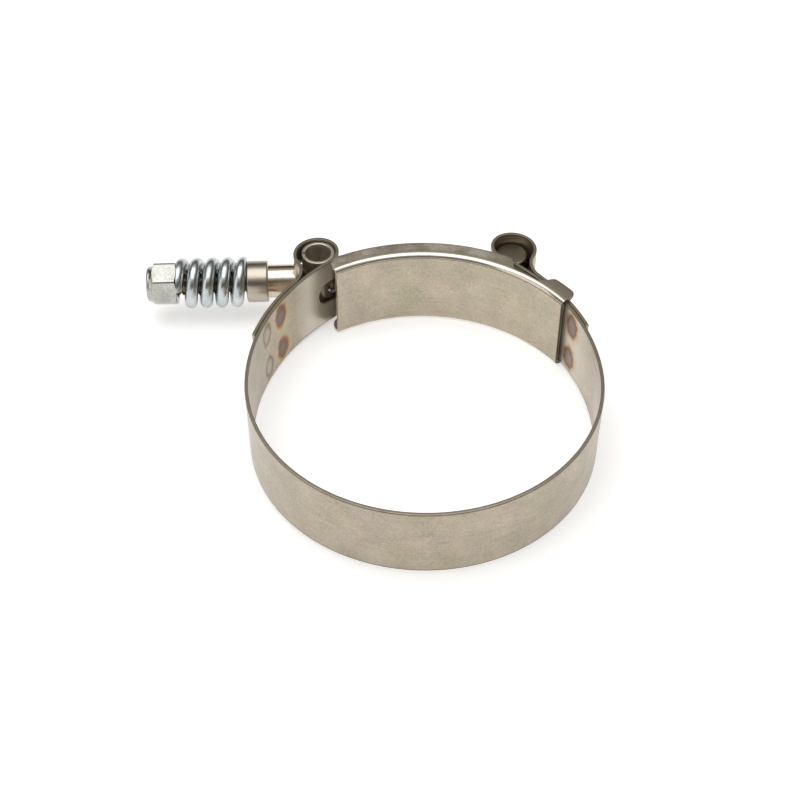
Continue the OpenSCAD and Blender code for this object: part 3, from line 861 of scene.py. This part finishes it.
def lock_nut():
    """Hexagon nut: the radius is the hexagon's at each angle, limited by a cone at both ends and softened at
    the corners, then the round collar with its rolled lip, the seat of the plastic ring and the bore."""
    flat_steps, cone_steps = 24, 14
    soften, cone_inset, bore_bevel, lip_taper, collar_inset = 0.12, 0.05, 0.5, 0.3, 0.05
    cone_slope = math.tan(math.radians(30))
    flat_r = NUT_AF / 2
    corner_r = flat_r / math.cos(math.radians(30))
    sides = 6 * flat_steps
    a = ring_angles(sides)
    lean = (np.degrees(a) + NUT_TURN_A + 30) % 60 - 30
    hexagon = np.minimum(flat_r / np.cos(np.radians(np.abs(lean) - 30)), corner_r - soften)
    cone = np.linspace(0, (corner_r - flat_r) * cone_slope, cone_steps)
    limit = flat_r - cone_inset + cone / cone_slope
    hex_x = np.concatenate([HEX_OUT + cone, NUT_IN - cone[::-1]])
    hex_limit = np.concatenate([limit, limit[::-1]])[:, None]
    collar_r = flat_r - NUT_WALL / 2
    mouth_r = NUT_SEAT_R - NUT_WALL
    seat_in = NUT_OUT + NUT_WALL / 2 + NUT_COLLAR_L
    seat_out = NUT_OUT + NUT_WALL
    lip = corner((collar_r - lip_taper - NUT_WALL, seat_out), NUT_WALL, 12, -90, 9)
    turned_line = np.concatenate([
        [[HOLE_R, NUT_IN - bore_bevel], [HOLE_R, HEX_OUT], [HOLE_R, seat_in], [NUT_SEAT_R, seat_in],
         [NUT_SEAT_R, seat_out], [mouth_r, seat_out], [mouth_r, NUT_OUT]],
        lip[::-1],
        [[collar_r, HEX_OUT - collar_inset]]])
    r = np.concatenate([
        np.broadcast_to(turned_line[:, :1], (len(turned_line), sides)),
        np.minimum(hexagon, hex_limit),
        np.full((1, sides), HOLE_R + bore_bevel)])
    x = np.concatenate([turned_line[:, 1], hex_x, [NUT_IN]])
    rings = about_bolt(x[:, None], r, a)
    rings = np.concatenate([rings, rings[:1]])
    return rings, loop_faces(len(rings), sides), []


make_piece("lock_nut_body", [lock_nut()], "nut", "lock_nut", nut_zinc, sharp=24.0)


# Plastic ring inside the nut's collar

rim_round, bore_round = 0.2, 0.25
insert_out = NUT_OUT + NUT_WALL / 2
insert_in = insert_out + NUT_COLLAR_L
insert_profile = np.concatenate([
    corner((NUT_SEAT_R - rim_round, insert_out + rim_round), rim_round, -90, 0),
    corner((NUT_SEAT_R - rim_round, insert_in - rim_round), rim_round, 0, 90),
    corner((HOLE_R + bore_round, insert_in - bore_round), bore_round, 90, 180),
    corner((HOLE_R + bore_round, insert_out + bore_round), bore_round, 180, 270)])
make_piece("nylon_ring", [turned(insert_profile)], "nut", "nut_insert", nylon)


# Floor, light and camera

def floor():
    """Large square of white paper under the clamp, one grid cell."""
    half_side, drop = 3000.0 * MM, 0.02
    z = (-CHANNEL_OUT - drop) * MM
    corners = [(x * half_side, y * half_side, z) for x, y in ((-1, -1), (1, -1), (1, 1), (-1, 1))]
    made = bpy.data.meshes.new("floor")
    made.from_pydata(corners, [], [(0, 1, 2, 3)])
    paper = bpy.data.materials.new("white_paper")
    paper.use_nodes = True
    tree = paper.node_tree
    tree.nodes.clear()
    matt = add(tree, "ShaderNodeBsdfDiffuse", {"Color": linear("#F4F4F4")})
    # Lifted a little more far off, where the lamps no longer reach, so that it meets the white behind it
    spot = add(tree, "ShaderNodeTexCoord")
    away = add(tree, "ShaderNodeVectorMath", {0: spot.outputs["Object"]}, operation="LENGTH")
    glow = add(tree, "ShaderNodeMapRange", {
        "Value": away.outputs["Value"], "From Min": 0.4, "From Max": 1.2, "To Min": 0.44, "To Max": 0.72})
    lift = add(tree, "ShaderNodeEmission", {"Color": linear("#FFFFFF"), "Strength": glow.outputs[0]})
    both = add(tree, "ShaderNodeAddShader", {0: matt.outputs[0], 1: lift.outputs[0]})
    add(tree, "ShaderNodeOutputMaterial", {"Surface": both.outputs[0]})
    made.materials.append(paper)
    obj = bpy.data.objects.new("floor", made)
    bpy.context.scene.collection.objects.link(obj)


def lamp(name, place, aim, size, power):
    """Square soft box at a place, turned towards a point; places in mm."""
    data = bpy.data.lights.new(name, "AREA")
    data.shape = "SQUARE"
    data.size = size * MM
    data.energy = power
    obj = bpy.data.objects.new(name, data)
    obj.location = Vector(place) * MM
    obj.rotation_euler = (Vector(aim) - Vector(place)).to_track_quat("-Z", "Y").to_euler()
    bpy.context.scene.collection.objects.link(obj)


def studio():
    """White backdrop all round up to 13 degrees, a darker room above it and a bright ceiling, by the height
    of the direction; the camera sees the same world that the metal mirrors."""
    world = bpy.data.worlds.new("studio")
    world.use_nodes = True
    sky = world.node_tree
    sky.nodes.clear()
    aim = add(sky, "ShaderNodeTexCoord")
    height = add(sky, "ShaderNodeSeparateXYZ", {0: aim.outputs["Generated"]})
    rise = add(sky, "ShaderNodeMapRange", {"Value": height.outputs[2], "From Min": -1.0, "From Max": 1.0})
    room = add(sky, "ShaderNodeValToRGB", {"Fac": rise.outputs[0]}, stops=[
        (0.61, "#FFFFFF"), (0.635, "#423E39"), (0.76, "#47433E"), (0.87, "#989389"), (0.95, "#EFEEEB")])
    back = add(sky, "ShaderNodeBackground", {"Color": room.outputs["Color"], "Strength": 1.0})
    add(sky, "ShaderNodeOutputWorld", {"Surface": back.outputs[0]})
    bpy.context.scene.world = world


floor()
lamp("top_box", (-100, 30, 900), (0, 20, 0), 880, 3.6)
lamp("left_box", (-800, -350, 450), (0, 20, 0), 600, 1.2)
studio()

# Camera: the photograph's view, looking down on the ring from its closed side
FOCAL_PX = 1500.0
IMAGE_PX = 800.0
SENSOR = 36.0
CLIP_START_M = 0.01
LOOK_DOWN = math.radians(46.54)
OBJECT_TURN = math.radians(2.39)
ROLL = math.radians(-0.04)
OFFSET = (5.53, -1.01, 347.6)
level = Vector((1, 0, 0))
upright = Vector((0, math.sin(LOOK_DOWN), math.cos(LOOK_DOWN)))
ahead = Vector((0, math.cos(LOOK_DOWN), -math.sin(LOOK_DOWN)))
stand = -OFFSET[0] * level - OFFSET[1] * upright - OFFSET[2] * ahead
right = math.cos(ROLL) * level - math.sin(ROLL) * upright
up = math.sin(ROLL) * level + math.cos(ROLL) * upright
pose = Matrix((right, up, -ahead)).transposed().to_4x4()
pose.translation = stand * MM
camera_data = bpy.data.cameras.new("camera")
camera_data.sensor_width = SENSOR
camera_data.lens = FOCAL_PX / IMAGE_PX * SENSOR
camera_data.clip_start = CLIP_START_M
camera = bpy.data.objects.new("camera", camera_data)
camera.matrix_world = Matrix.Rotation(-OBJECT_TURN, 4, "Z") @ pose
bpy.context.scene.collection.objects.link(camera)
bpy.context.scene.camera = camera

bpy.context.scene.view_settings.view_transform = "Standard"
